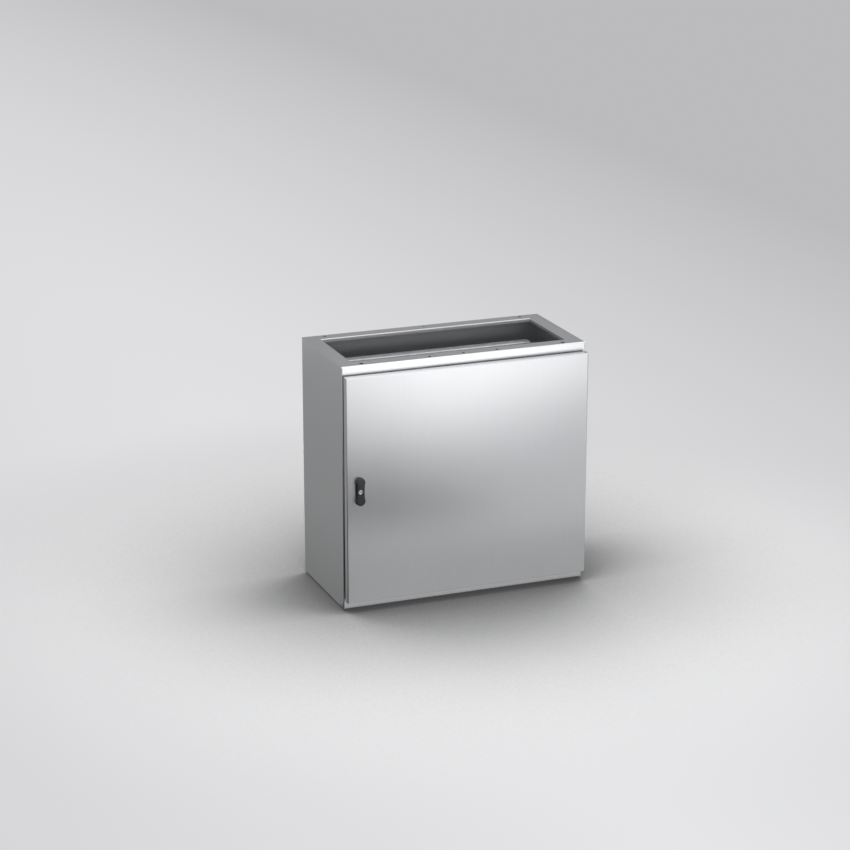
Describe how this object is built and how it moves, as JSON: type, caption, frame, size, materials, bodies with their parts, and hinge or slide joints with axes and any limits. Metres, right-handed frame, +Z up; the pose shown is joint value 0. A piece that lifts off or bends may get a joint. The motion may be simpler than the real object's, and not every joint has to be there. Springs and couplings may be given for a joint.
{
  "type": "console enclosure",
  "caption": "Stainless sheet-metal console base cabinet with an open flanged top, a mounting plate inside and a hinged door with a rod lock.",
  "frame": {"origin": "on the floor under the middle of the cabinet, on the gland plate's underside", "axes": "+X to the right seen from the door, +Y from the door to the rear panel, +Z up"},
  "size_m": [0.6, 0.3093, 0.584],
  "materials": {
    "brushed_stainless": "pre-grained, grain upright",
    "galvanised_sheet": "hot-dip galvanised, matt spangle",
    "zinc_plated_steel": "bright zinc plating",
    "cast_zinc": "die-cast zinc, matt",
    "foam_seal": "foamed, matt",
    "black_polyamide": "moulded, fine grain"
  },
  "bodies": {
    "cabinet": {"left_side_panel": "brushed_stainless", "right_side_panel": "brushed_stainless", "rear_panel": "brushed_stainless", "top_frame": "brushed_stainless", "base_frame": "brushed_stainless", "gland_plate": "galvanised_sheet", "gland_seal": "foam_seal", "gland_studs": "zinc_plated_steel", "gland_nuts": "zinc_plated_steel", "mounting_plate": "galvanised_sheet", "plate_rail_left_upper": "galvanised_sheet", "plate_rail_left_lower": "galvanised_sheet", "plate_rail_right_upper": "galvanised_sheet", "plate_rail_right_lower": "galvanised_sheet", "plate_bracket_left_upper": "zinc_plated_steel", "plate_bracket_left_lower": "zinc_plated_steel", "plate_bracket_right_upper": "zinc_plated_steel", "plate_bracket_right_lower": "zinc_plated_steel", "bracket_screws": "zinc_plated_steel", "bracket_nuts": "zinc_plated_steel", "plate_screws": "zinc_plated_steel", "plate_nuts": "zinc_plated_steel", "upper_hinge_bracket": "zinc_plated_steel", "lower_hinge_bracket": "zinc_plated_steel", "hinge_screws": "zinc_plated_steel", "hinge_nuts": "zinc_plated_steel", "body_earth_stud": "zinc_plated_steel", "body_earth_washer": "zinc_plated_steel", "body_earth_nut": "zinc_plated_steel"},
    "door": {"door_panel": "brushed_stainless", "door_gasket": "foam_seal", "upper_hinge_leaf": "zinc_plated_steel", "lower_hinge_leaf": "zinc_plated_steel", "upper_hinge_pin": "zinc_plated_steel", "lower_hinge_pin": "zinc_plated_steel", "lock_escutcheon": "black_polyamide", "lock_seal": "foam_seal", "lock_case": "cast_zinc", "lock_cover": "zinc_plated_steel", "lock_screws": "zinc_plated_steel", "cover_screws": "zinc_plated_steel", "upper_rod_guide": "black_polyamide", "lower_rod_guide": "black_polyamide", "guide_studs": "zinc_plated_steel", "door_earth_stud": "zinc_plated_steel", "door_earth_washer": "zinc_plated_steel", "door_earth_nut": "zinc_plated_steel"},
    "lock_drive": {"lock_core": "zinc_plated_steel", "drive_pinion": "cast_zinc", "core_clip": "zinc_plated_steel"},
    "upper_bolt": {"upper_rod": "zinc_plated_steel", "upper_rod_tip": "black_polyamide"},
    "lower_bolt": {"lower_rod": "zinc_plated_steel", "lower_rod_tip": "black_polyamide"}
  },
  "joints": [
    {"name": "door_swing", "type": "hinge", "parent": "cabinet", "child": "door", "pos_m": [0.292, -0.153, 0.2945], "axis": [0, 0, 1], "range_deg": [0, 130]},
    {"name": "lock_turn", "type": "hinge", "parent": "door", "child": "lock_drive", "pos_m": [-0.2665, -0.15, 0.2945], "axis": [0, 1, 0], "range_deg": [0, 90]},
    {"name": "upper_rod_travel", "type": "slide", "parent": "door", "child": "upper_bolt", "axis": [0, 0, 1], "range_m": [0, 0.01099]},
    {"name": "lower_rod_travel", "type": "slide", "parent": "door", "child": "lower_bolt", "axis": [0, 0, -1], "range_m": [0, 0.011]}
  ],
  "couplings": [
    {"joint": "lock_turn", "follows": "upper_rod_travel", "rad_per_m": 142.86},
    {"joint": "lower_rod_travel", "follows": "upper_rod_travel", "ratio": 1}
  ]
}
